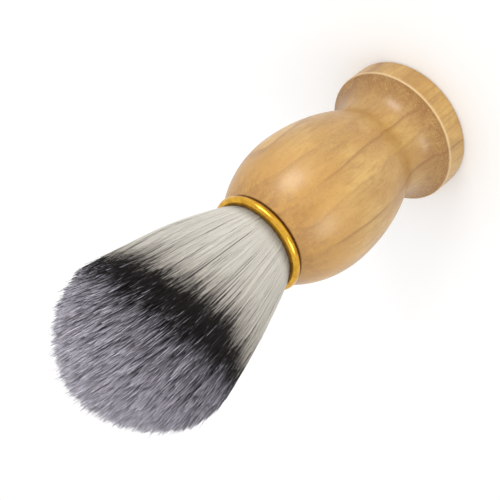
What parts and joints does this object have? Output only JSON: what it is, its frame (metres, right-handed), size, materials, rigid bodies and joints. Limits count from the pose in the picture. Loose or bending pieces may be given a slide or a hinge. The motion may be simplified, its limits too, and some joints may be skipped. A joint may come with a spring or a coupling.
{
  "type": "shaving brush",
  "caption": "Shaving brush with a turned wooden bulb handle, a gold coloured ferrule ring and a domed knot of cream, black and lilac grey synthetic fibre.",
  "frame": {"origin": "centre of the foot's flat underside, the face that the brush stands on", "axes": "+Z along the brush's axis, from the foot to the tip of the knot; the solids are round about it, so +X and +Y are free"},
  "size_m": [0.0382, 0.0382, 0.1045],
  "materials": {
    "lacquered_wood": "satin clear lacquer over turned maple or beech",
    "gold_metal": "gold anodised, bright",
    "nylon_fibre": "fine crimped nylon fibre, cream at the root, black band, lilac grey tips",
    "cast_resin": "amber casting resin",
    "waxed_thread": "waxed polyester thread",
    "set_glue": "set epoxy glue"
  },
  "bodies": {
    "root": {"handle": "lacquered_wood", "ferrule_ring": "gold_metal", "bristle_knot": "nylon_fibre", "root_plug": "cast_resin", "binding_thread": "waxed_thread", "adhesive_bed": "set_glue"}
  },
  "joints": []
}
